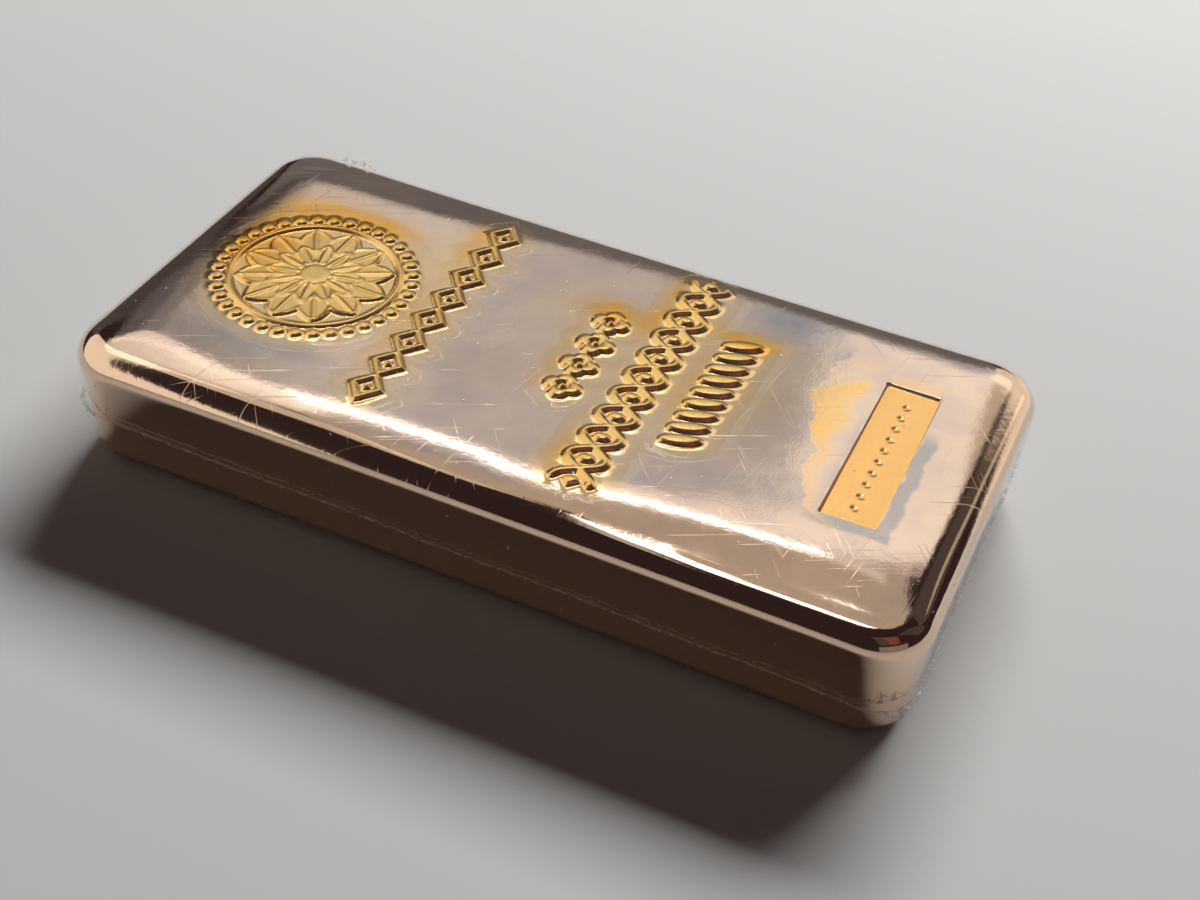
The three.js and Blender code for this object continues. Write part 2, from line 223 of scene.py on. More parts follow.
# %% Lattice to pillow
def pillow_points(lattice, grow):
    """Places lattice points on the pillow, grown outwards by grow, and says which way each faces."""
    from_edge = np.minimum(lattice[:, :2], BOX_CELLS[:2] - lattice[:, :2])
    beyond = np.clip(RING_ROWS - from_edge, 0, None)
    rows_in = RING_ROWS - beyond.max(1)
    on_top = lattice[:, 2] > SIDE_ROWS - TOUCHING
    below = lattice[:, 2] < TOUCHING
    inset, z = section(rows_in, lattice[:, 2], on_top, below, grow)

    a, b = beyond[:, 0], beyond[:, 1]
    ratio = np.minimum(a, b) / np.maximum(np.maximum(a, b), 1e-9)
    angle = np.where(b >= a, ratio, 2 - ratio) * math.pi / 4
    reach = CORNER_RADIUS - inset
    from_middle = lattice[:, :2] - BOX_CELLS[:2] / 2
    side = np.sign(from_middle)
    middle = np.clip(from_middle, -CORE_CELLS / 2, CORE_CELLS / 2) * CELL_STEP
    outward = np.stack([np.sin(angle), np.cos(angle)], 1) * (np.maximum(a, b) > 0)[:, None] * side
    plan = middle + outward * reach[:, None]
    along = np.clip(np.abs(plan[:, 0]) / core[0], 0, 1)
    plan[:, 1] *= 1 - SIDE_WAIST / HALF_WIDTH * (1 - along ** 2)
    return plan[:, 0], plan[:, 1], z, outward, rows_in, on_top


# %% [markdown]
# ## The top: soft shoulders, a sunk middle and gentle unevenness
#
# Copper shrinks as it sets, so the middle of the top sinks a little, and surface tension
# rounds the edges off well before they roll over. It never sets quite even, either: the
# unevenness is only hundredths of a millimetre, but a polished face shows it. The front
# shoulder has slumped more towards the panel end.

# %% Top surface
FRONT_SLUMP_X = (-58, -20, 0, 13, 30, 46, 58)
FRONT_SLUMP_MM = (0, 0.02, 0.18, 0.06, 0.33, 0.43, 0.35)
FRONT_SLUMP_FROM = 12.0       # mm in front of the middle
RIPPLES = (                   # height mm, length mm, direction degrees, phase
    (0.020, 41.0, 12, 0.4),
    (0.014, 27.0, -35, 2.1),
    (0.010, 19.0, 63, 4.0),
    (0.006, 13.0, -71, 1.2),
    (0.004, 9.0, 24, 5.1),
)


def shoulder(x, y):
    """How far the top falls towards its rim, and how far its front has slumped, in mm."""
    near_x = np.clip(1 - (RIM_X - np.abs(x)) / SHOULDER_WIDTH, 0, 1)
    near_y = np.clip(1 - (RIM_Y - np.abs(y)) / SHOULDER_WIDTH, 0, 1)
    near = (near_x ** CORNER_BLEND + near_y ** CORNER_BLEND) ** (1 / CORNER_BLEND)
    slump = np.interp(x, FRONT_SLUMP_X, FRONT_SLUMP_MM)
    near_front = np.clip((-y - FRONT_SLUMP_FROM) / (RIM_Y - FRONT_SLUMP_FROM), 0, 1) ** 2
    return SHOULDER_DROP * np.clip(near, 0, 1) ** 2, slump * near_front


def dish(x, y):
    """How far the middle of the top has sunk, in mm."""
    u = np.clip(np.abs(x) / RIM_X, 0, 1)
    v = np.clip(np.abs(y) / RIM_Y, 0, 1)
    return TOP_DISH * (1 - u ** 2) * (1 - v ** 2)


def ripple(x, y):
    """The unevenness of the cast face, in mm."""
    total = np.zeros_like(x)
    for height, length, degrees, phase in RIPPLES:
        turn = math.radians(degrees)
        total += height * np.sin(2 * math.pi * (x * math.cos(turn) + y * math.sin(turn)) / length + phase)
    return total


def crown(x, y, rows_in):
    """The top's height over its rim, for points rows_in rows from the edge."""
    fall, slump = shoulder(x, y)
    inside = ease(rows_in, 0, ROLL_ROWS)
    return SHOULDER_DROP - fall - dish(x, y) + (ripple(x, y) - slump) * inside


# %% [markdown]
# ## The raised ornament
#
# The work was pressed into the mould, so it stands up with sloping sides, rounded crests
# and a soft fillet at its foot. Each motif is worked out as a distance: how far a point is
# outside its edge, or less than 0 inside it. To join motifs is only to take the smaller
# distance, and one profile turns every distance into a height. The same distance later
# says where the metal is toned golden.

# %% Motif measures
LINE = 0.42                   # mm, half the width of a raised line


def repeat(y, start, end, pitch):
    """Folds y into repeats between start and end: the place in one, its width, and how far outside."""
    count = max(1, round((end - start) / pitch))
    width = (end - start) / count
    place = (np.clip(y, start, end - 1e-6) - start) % width - width / 2
    outside = np.maximum(np.maximum(start - y, y - end), 0)
    return place, width, outside


def from_ellipse(x, y, half_x, half_y):
    """About how far a point is outside an ellipse."""
    size = np.hypot(x / half_x, y / half_y)
    slope = np.hypot(x / half_x ** 2, y / half_y ** 2)
    return (size - 1) * size / np.maximum(slope, 1e-6)


# %% Lozenges
LOZENGE_PITCH, LOZENGE_STUD = 5.2, 0.42    # mm


def lozenge_chain(x, y, start, end, height):
    """Diamond outlines in a row, each with a stud in its middle."""
    place, width, outside = repeat(y, start, end, LOZENGE_PITCH)
    a, b = height / 2 - LINE, width / 2 - LINE * 0.5
    rim = np.abs((np.abs(x) / a + np.abs(place) / b - 1) * (a * b / math.hypot(a, b))) - LINE * 0.9
    stud = np.hypot(x, place) - LOZENGE_STUD
    return np.minimum(rim, stud) + outside


# %% Quatrefoils
QUATREFOIL_PITCH, QUATREFOIL_RING, QUATREFOIL_STUD = 5.0, 0.85, 0.45       # mm
LOBE_AT, LOBE_SIZE, LOBE_SQUEEZE = 0.24, 0.21, 0.92    # shares of the height, and of LOBE_AT


def quatrefoils(x, y, start, end, height):
    """Four round lobes and a stud, with a ring of ground round the stud."""
    place, _, outside = repeat(y, start, end, QUATREFOIL_PITCH)
    ahead = np.hypot(np.abs(x) - height * LOBE_AT, place)
    beside = np.hypot(x, np.abs(place) - height * LOBE_AT * LOBE_SQUEEZE)
    lobes = np.minimum(ahead, beside) - height * LOBE_SIZE
    middle = np.hypot(x, place)
    return np.minimum(np.maximum(lobes, QUATREFOIL_RING - middle), middle - QUATREFOIL_STUD) + outside


# %% Braid
BRAID_PITCH = 8.4             # mm, for one full wave
BRAID_STUD_X, BRAID_STUD_Y = 1.0, 0.75


def braid(x, y, start, end, height):
    """Two crossing waves with a stud in each eye."""
    place, width, outside = repeat(y, start, end, BRAID_PITCH)
    half, turn = height / 2 - LINE, 2 * math.pi / width
    lean = np.hypot(1, half * turn * np.sin(turn * place))
    swing = half * np.cos(turn * place)
    waves = np.minimum(np.abs(x - swing), np.abs(x + swing)) / lean - LINE * 1.1
    eye = (place % (width / 2) + width / 4) % (width / 2) - width / 4
    stud = from_ellipse(x, eye, BRAID_STUD_X, BRAID_STUD_Y)
    return np.minimum(waves, stud) + outside


# %% Leaves
LEAF_PITCH, LEAF_LEAN = 2.7, 0.32  # mm, and mm along the band for each mm across it
LEAF_FULLNESS = 0.38          # of the pitch, half the thickness of a leaf


def slanted_leaves(x, y, start, end, height):
    """Oval leaves side by side, all leaning one way."""
    place, width, outside = repeat(y - LEAF_LEAN * x, start, end, LEAF_PITCH)
    return from_ellipse(x, place, height / 2 - 0.2, width * LEAF_FULLNESS) + outside


# %% [markdown]
# The medallion is drawn round its middle: a ring of beads, a plain ring, two rows of petals
# and a boss. Each petal has a raised rim and rib with sunk fields between them. Folding the
# turn into one pitch makes a whole row out of one petal.

# %% Medallion
MEDALLION_RADIUS = 13.8       # mm
BEADS, BEAD_INSET, BEAD_SIZE = 36, 0.75, 0.82
RING_INSET, RING_HALF_WIDTH = 2.35, 0.4
PETALS = 12                   # in each row
PETAL_RIM, PETAL_RIB = (0.34, 0.6), (0.18, 0.38)       # mm, where each gives way to the sunk field
OUTER_ROOT, OUTER_INSET, OUTER_SPREAD = 0.36, 3.2, 0.86
INNER_ROOT, INNER_TIP, INNER_SPREAD = 0.15, 0.5, 0.84
BOSS = 0.16                   # of the medallion's radius, as the roots and INNER_TIP are


def petal_row(r, turn, root, tip, spread, offset):
    """Distance outside the petals of one row, and 1 in the sunk fields between rim and rib."""
    pitch = 2 * math.pi / PETALS
    across = np.abs((turn + offset * pitch + pitch / 2) % pitch - pitch / 2) * r
    t = np.clip((r - root) / (tip - root), 0, 1)
    half = spread * tip * pitch / 2 * np.sin(math.pi * t ** 0.85) ** 0.8
    beyond = np.maximum(np.maximum(root - r, r - tip), 0)
    field = ease(half - across, *PETAL_RIM) * ease(across, *PETAL_RIB)
    return across - half + beyond, field


def rosette(x, y):
    """Distance outside the medallion's parts, and 1 in the sunk fields of its petals."""
    radius = MEDALLION_RADIUS
    r, turn = np.hypot(x, y), np.arctan2(y, x)
    pitch = 2 * math.pi / BEADS
    bead_ring = radius - BEAD_INSET
    bead = np.hypot(r - bead_ring, ((turn + pitch / 2) % pitch - pitch / 2) * bead_ring) - BEAD_SIZE
    ring = np.abs(r - (radius - RING_INSET)) - RING_HALF_WIDTH
    outer, outer_field = petal_row(r, turn, radius * OUTER_ROOT, radius - OUTER_INSET, OUTER_SPREAD, 0)
    inner, inner_field = petal_row(r, turn, radius * INNER_ROOT, radius * INNER_TIP, INNER_SPREAD, 0.5)
    boss = r - radius * BOSS
    distance = np.minimum.reduce([bead, ring, outer, inner, boss])
    field = np.where(inner < 0, inner_field, outer_field) * (boss > 0)
    return distance, field


# %% Layout of the raised work
MEDALLION_X = 21.0 - HALF_LENGTH
BANDS = (                     # motif, middle x, front y, back y, height along x
    (lozenge_chain, -18.5, 5.4 - RIM_Y, RIM_Y - 2.8, 4.6),
    (quatrefoils, 2.9, -8, 12, 5.5),
    (braid, 11.5, 4.4 - RIM_Y, RIM_Y - 2, 5.7),
    (slanted_leaves, 20.2, -9.5, 14.5, 5.3),
)
BAND_REACH = 4.0              # mm beside a band, past which it counts as far away
FAR = 50.0                    # mm
RELIEF = 0.58                 # mm, from the ground to a crest
MEDALLION_SHARE = 0.7         # of that height, on the medallion
RELIEF_SIDE = (-0.20, 0.22)   # mm from a motif's edge, from the top of its side to its foot
SIDE_SHARE, FILLET_SHARE, CREST_SHARE, FIELD_SHARE = 0.80, 0.10, 0.10, 0.42    # of the height


def ornament(x, y):
    """Distance outside the raised work, and 1 in the sunk fields of the petals."""
    nearest, field = rosette(x - MEDALLION_X, y)
    for motif, middle, front, back, height in BANDS:
        near = np.abs(x - middle) < height / 2 + BAND_REACH
        band = np.full_like(x, FAR)
        band[near] = motif(x[near] - middle, y[near], front, back, height)
        nearest = np.minimum(nearest, band)
    return nearest, field


def in_medallion(x, y):
    """1 on the medallion and 0 off it."""
    return 1 - ease(np.hypot(x - MEDALLION_X, y), MEDALLION_RADIUS - 0.5, MEDALLION_RADIUS + 0.8)


def relief_height(x, y, distance, field):
    """The moulded section: a side, a fillet at its foot and a gently domed crest, in mm."""
    side = 1 - ease(distance, *RELIEF_SIDE)
    fillet = 1 - ease(distance, 0.0, 1.0)
    crest = ease(-distance, 0.1, 0.8)
    height = RELIEF * (1 - (1 - MEDALLION_SHARE) * in_medallion(x, y))
    profile = SIDE_SHARE * side + FILLET_SHARE * fillet + CREST_SHARE * crest
    return height * (profile - FIELD_SHARE * field * (distance < 0))


# %% [markdown]
# ## The sunk panel
#
# A stamp pressed a long narrow panel into the set metal. Its floor slopes up towards the
# back and ends there in a shallow step, where the stamp sat a little askew, and a row of
# round punch marks runs along it.

# %% Panel
PANEL_X, PANEL_Y = HALF_LENGTH - 14.5, 2.8
PANEL_HALF_X, PANEL_HALF_Y = 3.7, 15.0
PANEL_DEPTH = 1.0             # mm, at the front end
PANEL_BACK_SHARE = 0.25       # of that depth, where the floor meets the step
PANEL_WALL_RUN = 0.2          # mm
PANEL_LEDGE = 2.4             # mm, the step behind the floor
PANEL_LEDGE_SINK = 0.1        # how far the step sinks, as a share of the floor
PUNCH_PITCH = 2.3             # mm, along the panel
PUNCH_COUNT = 10
PUNCH_DEPTH = 0.1
PUNCH_EDGE = (0.25, 0.6)      # mm from a mark's middle, from its floor to its rim
PUNCH_SHIFT = 1.2             # mm, the row starts nearer the front


def panel_edge(x, y):
    """Distance outside the panel's rim, and less than 0 inside it."""
    return np.maximum(np.abs(x - PANEL_X) - PANEL_HALF_X, np.abs(y - PANEL_Y) - PANEL_HALF_Y)


def panel_sink(x, y):
    """1 on the floor of the sunk panel, 0 outside its rim, and between them on its walls."""
    inside = PANEL_HALF_X - np.abs(x - PANEL_X)
    from_front = y - PANEL_Y + PANEL_HALF_Y
    from_back = PANEL_Y + PANEL_HALF_Y - y
    floor = np.clip(np.minimum.reduce([inside, from_front, from_back - PANEL_LEDGE]) / PANEL_WALL_RUN, 0, 1)
    ledge = np.minimum.reduce([ease(inside, 0, 0.6), from_front > 0, ease(from_back, 0, 1.2)])
    return np.maximum(floor, PANEL_LEDGE_SINK * ledge)


def punched_row(x, y):
    """A row of small round punch marks on the panel's floor, from 0 to 1."""
    along = y - PANEL_Y + PUNCH_SHIFT
    number = np.clip(np.round(along / PUNCH_PITCH - 0.5), -PUNCH_COUNT // 2, PUNCH_COUNT // 2 - 1)
    return 1 - ease(np.hypot(x - PANEL_X, along - (number + 0.5) * PUNCH_PITCH), *PUNCH_EDGE)


# %% [markdown]
# ## The casting as one skin
#
# Only the cells near the raised work, the panel and the stained metal beside it are cut
# finer, five to the millimetre, and the open metal keeps the plain lattice. Then every
# point moves to its place. What comes out is one closed skin, so a highlight can run over
# it without meeting a join.

# %% Fine cells
FINE_CUTS = 4                 # in a cell of 1 mm, so five small cells
FINE_MARGIN = 1.5             # mm round the raised work
PANEL_MARGIN = 3.0            # mm round the panel, for the sharp edge of its tarnish
TIDE_MARGIN = 1.2             # mm before the stained metal
TIDE_Y = (-15, -12, -8, -2, 3, 8, 12, 20)
TIDE_X = (42, 38, 35.8, 35.3, 33.5, 31.6, 31.7, 33.5)      # the stain starts here, going right


def wants_fine_cells(x, y):
    """Where the top needs fine cells."""
    distance, _ = ornament(x, y)
    stained_side = (x > np.interp(y, TIDE_Y, TIDE_X) - TIDE_MARGIN) & (x < PANEL_X)
    beside_panel = np.abs(y - PANEL_Y) < PANEL_HALF_Y + PANEL_MARGIN
    return (distance < FINE_MARGIN) | (panel_edge(x, y) < PANEL_MARGIN) | (stained_side & beside_panel)


# %% From lattice to object
def move_points(bm, x, y, z):
    """Moves the points of a bmesh to x, y, z in mm."""
    for vert, place in zip(bm.verts, zip(x, y, z)):
        vert.co = Vector(place) * MM


def to_object(bm, name):
    """Makes a smooth object of a bmesh."""
    mesh = bpy.data.meshes.new(name)
    bm.to_mesh(mesh)
    bm.free()
    mesh.shade_smooth()
    piece = bpy.data.objects.new(name, mesh)
    scene.collection.objects.link(piece)
    count = sum(len(polygon.vertices) - 2 for polygon in mesh.polygons)
    print(name, len(mesh.vertices), "points", count, "triangles")
    return piece


def set_attribute(piece, name, values):
    """Keeps a number on each point for a material."""
    layer = piece.data.attributes.new(name, "FLOAT", "POINT")
    layer.data.foreach_set("value", np.asarray(values, dtype=np.float32))


# %% Build the casting
SHARP_DEGREES = 55            # only the rim of the stamped panel is this sharp

bm = box_lattice()
refine_top(bm, wants_fine_cells, FINE_CUTS)
lattice = np.array([vert.co[:] for vert in bm.verts])
x, y, z, outward, rows_in, on_top = pillow_points(lattice, grow=0.0)
distance, field = ornament(x, y)
sink = panel_sink(x, y) * on_top
floor_work = -PUNCH_DEPTH * punched_row(x, y)
open_top = crown(x, y, rows_in) + relief_height(x, y, distance, field)
panel_rim = float(crown(np.array([PANEL_X]), np.array([PANEL_Y]), np.array([RING_ROWS]))[0])
panel_run = np.clip((y - PANEL_Y + PANEL_HALF_Y) / (2 * PANEL_HALF_Y - PANEL_LEDGE), 0, 1)
panel_floor = panel_rim - PANEL_DEPTH * (1 - (1 - PANEL_BACK_SHARE) * panel_run) + floor_work
top = open_top * (1 - sink) + panel_floor * sink
z = z + np.where(on_top, top, 0)
move_points(bm, x, y, z + FLOOR_GAP)
bmesh.ops.recalc_face_normals(bm, faces=bm.faces)
casting = to_object(bm, "copper_casting")
casting.data.set_sharp_from_angle(angle=math.radians(SHARP_DEGREES))

# %% [markdown]
# ## Where the metal is toned
#
# Heat tints copper straw, gold and orange where it stayed hot longest, round the raised
# work and towards the back of it. The gold round the raised work is partly that tint and
# partly a painted warm reflection of the raised work. The metal is greyed in places, and
# beside the panel a golden stain and a grey band end in ragged edges. Each tone is a number
# on every point of the skin, from the same distances as the shape, so colour and shape agree.

# %% Soft patches of tone
ORANGE_PATCHES = (            # middle x, y, half sizes x, y in mm, strength
    (-43, 14.2, 7, 3, 1.9),
    (-34, 15, 6, 2, 1.4),
    (-48.6, 6, 2.4, 8, 1.6),
    (-44, 3, 3, 8, 0.6),
    (1.5, 12.8, 4, 2.2, 1.8),
    (7.2, 12, 1.7, 4, 0.8),
    (7.8, 20, 1.3, 5, 0.8),
    (20.5, 15, 4.4, 1.8, 1.7),
    (-21.5, 18, 1.6, 6, 0.8),
    (-21.5, -3, 1.3, 12, 0.5),
    (7.8, -17, 1.6, 5, 0.7),
    (-0.6, 1, 1.3, 8, 0.6),
    (16.8, 2, 1.3, 9, 0.5),
)
STRAW_PATCHES = (
    (-36, 2, 14, 14, 0.30),
    (-23, 13, 3, 6, 0.9),
    (-5, 10, 5, 7, 0.6),
    (10, 4, 10, 14, 0.3),
)
HAZE_PATCHES = (
    (27, 5, 5.5, 12, 1.1),
    (16, 10, 5, 10, 0.4),
    (-8, -6, 5, 6, 0.3),
)
GREY_PATCHES = (
    (-36, -16.5, 11, 2.6, 0.9),
    (-50, 12, 2.5, 10, 0.5),
    (30, -12, 9, 4, 0.4),
    (-24, 0, 2, 5, 0.8),
    (25, 21, 7, 4, 0.9),
    (-13, 4, 4, 9, 0.25),
)


def patches(x, y, spots):
    """Adds up soft round patches of tone."""
    total = np.zeros_like(x)
    for middle_x, middle_y, half_x, half_y, strength in spots:
        total += strength * np.exp(-((x - middle_x) / half_x) ** 2 - ((y - middle_y) / half_y) ** 2)
    return total


# %% Tones that follow the raised work
HALO_REACH, GLOW_REACH = 1.6, 3.0  # mm

on_face = on_top * ease(rows_in, 2, ROLL_ROWS + 1)
# Gold round the raised work and over the medallion: partly heat tint, partly a painted warm reflection of
# the raised work.
gold_tint_and_painted_reflection = np.maximum(np.exp(-np.clip(distance, 0, None) / HALO_REACH), 0.9 * in_medallion(x, y))
glow = np.exp(-np.clip(distance, 0, None) / GLOW_REACH)
raised = 1 - ease(distance, -0.25, 0.5)

# %% Tones beside the panel
STAIN_WIDTH_Y, STAIN_WIDTH = (-12, 0, 8, 18), (1.8, 2.8, 6, 6)
BROW_X, BROW_Y, BROW_SLOPE = 32.0, 10.5, 0.8       # the stain ends at the back along this line
GREY_BAND_WIDTH = 1.6             # mm, round the panel's right and front edges
TIDE_HAZE_REACH = 5.0         # mm, to the left of the stain

beside_panel = 1 - ease(np.abs(y - PANEL_Y), PANEL_HALF_Y, PANEL_HALF_Y + 4)
ragged = 0.40 * np.sin(y * 0.9) + 0.22 * np.sin(y * 2.3 + x * 0.6) + 0.08 * np.sin(y * 5.1 - x)
past_tide = x - np.interp(y, TIDE_Y, TIDE_X) + ragged
past_stain = past_tide - np.interp(y, STAIN_WIDTH_Y, STAIN_WIDTH)
past_brow = y - BROW_Y - BROW_SLOPE * (x - BROW_X)
stained = ease(past_tide, -0.1, 0.3) * (1 - ease(past_stain, -1.8, 0.6)) * beside_panel
stained = stained * (1 - 0.85 * ease(past_brow, -0.6, 0.6))
ledge_from = PANEL_Y + PANEL_HALF_Y - PANEL_LEDGE
ledge = ease(y, ledge_from - 0.5, ledge_from) * (sink > 0.01)
off_panel = panel_edge(x, y) + ragged * 0.5
right_and_front = ease(9 - y, 0, 4) * ease(x - PANEL_X + PANEL_HALF_X, -2, 2)
# A grey band along the panel's right and front edges.
grey_band = ease(off_panel, -0.1, 0.1) * (1 - ease(off_panel, GREY_BAND_WIDTH, GREY_BAND_WIDTH + 0.6)) * right_and_front
left_of_tide = np.clip(-past_tide, 0, 1)
tide_haze = np.exp(np.minimum(past_tide, 0) / TIDE_HAZE_REACH) * (past_tide < 0) * beside_panel
grey = np.clip(patches(x, y, GREY_PATCHES) + 0.45 * tide_haze, 0, 1)

# %% Tone attributes
TONES = {
    "raised": 0.8 * raised * on_face,
    "gold_tint_and_painted_reflection": gold_tint_and_painted_reflection * on_face,
    "panel": ease(sink, 0.15, 0.4),
    "orange": np.clip(patches(x, y, ORANGE_PATCHES) * (0.3 + 0.9 * glow), 0, 1) * on_face,
    "straw": np.clip(patches(x, y, STRAW_PATCHES), 0, 1) * left_of_tide * on_face,
    "haze": np.clip(patches(x, y, HAZE_PATCHES), 0, 1) * left_of_tide * on_face,
    "stain": np.maximum(stained * (0.55 + 0.4 * ease(y, -6, 4)), 0.35 * ledge) * on_face,
    "grey_band": 0.85 * grey_band * on_face,
    "grey": grey * on_face,
    "face": on_face * (1 - stained),
    "matt": (0.04 * (grey + grey_band) + 0.05 * gold_tint_and_painted_reflection + 0.20 * raised) * on_face * (1 - sink) + 0.13 * sink,
}
for name, values in TONES.items():
    set_attribute(casting, name, values)
    print("tone", name, "mean", round(float(values.mean()), 3))

# %% [markdown]
# ## The copper
#
# Cast and tumbled copper, left unlacquered: close to a mirror, with a fine orange peel from
# the mould that makes the edges of every reflection ragged, and hairline scratches from
# handling. The raised work and the ground round it are heat tinted, and the gold on that
# ground is partly a painted warm reflection of the raised work. The panel was brushed after
# it was stamped, so it is matt gold. The tints change only the colour and the roughness of
# one metal, which is what a thin oxide does, apart from that painted reflection.

# %% Copper tints
def new_material(name):
    """A material with an empty tree of nodes, and the tree."""
    material = bpy.data.materials.new(name)
    material.use_nodes = True
    material.node_tree.nodes.clear()
    return material, material.node_tree


copper, tree = new_material("cast_tumbled_copper")
spot = add(tree, "ShaderNodeTexCoord").outputs["Object"]
tone = {name: add(tree, "ShaderNodeAttribute", attribute_name=name).outputs["Fac"] for name in TONES}

CLOUDS = {                    # size mm, detail, the noise values that become 0 and 1
    "fine": (1.8, 3.0, 0.30, 0.70),
    "patchy": (7.0, 4.0, 0.32, 0.68),
    "broad": (16.0, 3.0, 0.35, 0.65),
}
cloud = {}
for name, (size_mm, detail, low, high) in CLOUDS.items():
    noise = add(tree, "ShaderNodeTexNoise", {"Vector": spot, "Scale": 1 / (size_mm * MM), "Detail": detail})
    cloud[name] = add(tree, "ShaderNodeMapRange", {"Value": noise, "From Min": low, "From Max": high})

CLEAN, STRAW, HAZE, GREY, MAUVE = "#eccdb4", "#f6d09c", "#dab48c", "#a39e9c", "#cdb2a8"
GOLD, ORANGE, STAIN, BRUSHED = "#ffd27e", "#ffb63c", "#ffc468", "#ffc26e"
TINTS = (                     # tone, colour, cloud, shares where the cloud is 0 and 1
    ("face", MAUVE, "patchy", 0.0, 0.6),
    ("straw", STRAW, "patchy", 0.55, 1.0),
    ("haze", HAZE, "patchy", 0.6, 1.0),
    ("grey", GREY, "patchy", 0.4, 1.0),
    ("grey_band", GREY, "patchy", 0.8, 1.0),
    ("stain", STAIN, "patchy", 0.7, 1.0),
    # The gold round the raised work is partly a painted warm reflection of it.
    ("gold_tint_and_painted_reflection", GOLD, "patchy", 0.45, 0.9),
    ("raised", GOLD, "fine", 1.0, 1.0),
    ("orange", ORANGE, "fine", 0.6, 1.0),
    ("panel", BRUSHED, "fine", 1.0, 1.0),
)
breath = add(tree, "ShaderNodeMath", {0: cloud["broad"], 1: 0.22}, operation="MULTIPLY")
tinted = add(tree, "ShaderNodeMix", {
    "Factor": breath, "A": linear(CLEAN), "B": linear(STRAW)}, data_type="RGBA")
for name, colour, cloud_name, low, high in TINTS:
    some = add(tree, "ShaderNodeMapRange", {"Value": cloud[cloud_name], "To Min": low, "To Max": high})
    share = add(tree, "ShaderNodeMath", {0: tone[name], 1: some}, operation="MULTIPLY")
    tinted = add(tree, "ShaderNodeMix", {
        "Factor": share, "A": tinted, "B": linear(colour)}, data_type="RGBA")

# %% Copper roughness
# Real hairlines are a few hundredths of a millimetre wide, and these are wider so that they show.
SCRATCHES = (                 # width mm, length mm, direction degrees
    (0.35, 14, 28),
    (0.30, 9, -52),
    (0.40, 18, 81),
)
SCRATCH_DULLING = 0.10        # roughness

scratched = 0.0
for width, length, degrees in SCRATCHES:
    turned = add(tree, "ShaderNodeMapping", {
        "Vector": spot, "Rotation": (0, 0, math.radians(degrees)),
        "Scale": (length * MM, width * MM, length * MM)}, vector_type="TEXTURE")
    lines = add(tree, "ShaderNodeTexNoise", {"Vector": turned, "Scale": 1.0, "Detail": 1.0})
    thin = add(tree, "ShaderNodeMapRange", {"Value": lines, "From Min": 0.70, "From Max": 0.78})
    scratched = add(tree, "ShaderNodeMath", {0: thin, 1: scratched}, operation="MAXIMUM")

polish = add(tree, "ShaderNodeMapRange", {"Value": cloud["broad"], "To Min": 0.05, "To Max": 0.08})
dulled = add(tree, "ShaderNodeMath", {
    0: scratched, 1: SCRATCH_DULLING, 2: polish}, operation="MULTIPLY_ADD")
roughness = add(tree, "ShaderNodeMath", {0: dulled, 1: tone["matt"]}, operation="ADD")

# %% Copper fine relief
GRAIN_MM, PEEL_MM, SWELL_MM = 0.3, 0.9, 5.0
STROKE_WIDTH, STROKE_LENGTH = 0.12 * MM, 9.0 * MM

brush = add(tree, "ShaderNodeMapping", {
    "Vector": spot, "Scale": (1 / STROKE_WIDTH, 1 / STROKE_LENGTH, 1 / STROKE_LENGTH)}, vector_type="POINT")
strokes = add(tree, "ShaderNodeTexNoise", {"Vector": brush, "Scale": 1.0, "Detail": 3.0})
brushing = add(tree, "ShaderNodeMath", {0: strokes, 1: tone["panel"]}, operation="MULTIPLY")
grain = add(tree, "ShaderNodeTexNoise", {"Vector": spot, "Scale": 1 / (GRAIN_MM * MM), "Detail": 2.0})
peel = add(tree, "ShaderNodeTexNoise", {"Vector": spot, "Scale": 1 / (PEEL_MM * MM), "Detail": 2.0})
swell = add(tree, "ShaderNodeTexNoise", {"Vector": spot, "Scale": 1 / (SWELL_MM * MM), "Detail": 1.0})
FINE_RELIEF = (               # height map, the height of its 1 in metres
    (grain, 3.0e-6),
    (peel, 5.0e-6),
    (swell, 1.2e-5),
    (scratched, -4.0e-6),
    (brushing, 1.2e-5),
)

relief = {}
for height, metres in FINE_RELIEF:
    bump = add(tree, "ShaderNodeBump", {"Height": height, "Distance": metres, "Strength": 1.0, **relief})
    relief = {"Normal": bump}
metal = add(tree, "ShaderNodeBsdfPrincipled", {
    "Base Color": tinted, "Metallic": 1.0, "Roughness": roughness, **relief})
add(tree, "ShaderNodeOutputMaterial", {"Surface": metal})
casting.data.materials.append(copper)
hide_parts("ingot")
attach(casting, "root")
print(copper.name, len(tree.nodes), "nodes")

# %% [markdown]
# ## The shrink film
#
# Two sheets of clear film were sealed round the bar and shrunk with hot air. Over the top
# the film bridges the raised work like a drum skin. On the sides it pulls straight from the
# widest line to the seal, so it stands off the leaning flanks there. It is its own closed
# skin on the same lattice, grown outwards a little, with fine pleats where it gathers.

# %% Film skin
FILM_GAP = 0.12               # mm off the metal
FILM_TOP_GAP = 0.06
FILM_BRIDGE = 0.83            # mm over the raised work
FILM_LOWEST = 0.005           # mm above the floor
WIDEST_Z = HEIGHT - TOP_ROLL
FILM_FOOT_Z = 1.0             # the film clings again below this
STAND_OFF_END, STAND_OFF_FRONT, STAND_OFF_CORNER = 0.36, 0.14, 0.3


def seam_height(x):
    """The seal drops from the left end to the panel end."""
    return np.interp(x, (-HALF_LENGTH, -16, 10, 38, HALF_LENGTH), (7.5, 6.8, 6.4, 6.1, 5.2))


def facing_corner(outward):
    """1 where the flank faces out of a corner, 0 along the sides and the ends."""
    return 4 * outward[:, 0] ** 2 * outward[:, 1] ** 2


def stand_off(x, outward):
    """How far the film stands off the flank at the seal, by the way the flank faces."""
    end = outward[:, 0] ** 2 * np.where(x > 0, 1.0, 0.6)
    at_corner = STAND_OFF_CORNER * facing_corner(outward)
    return STAND_OFF_FRONT + (STAND_OFF_END - STAND_OFF_FRONT) * end + at_corner


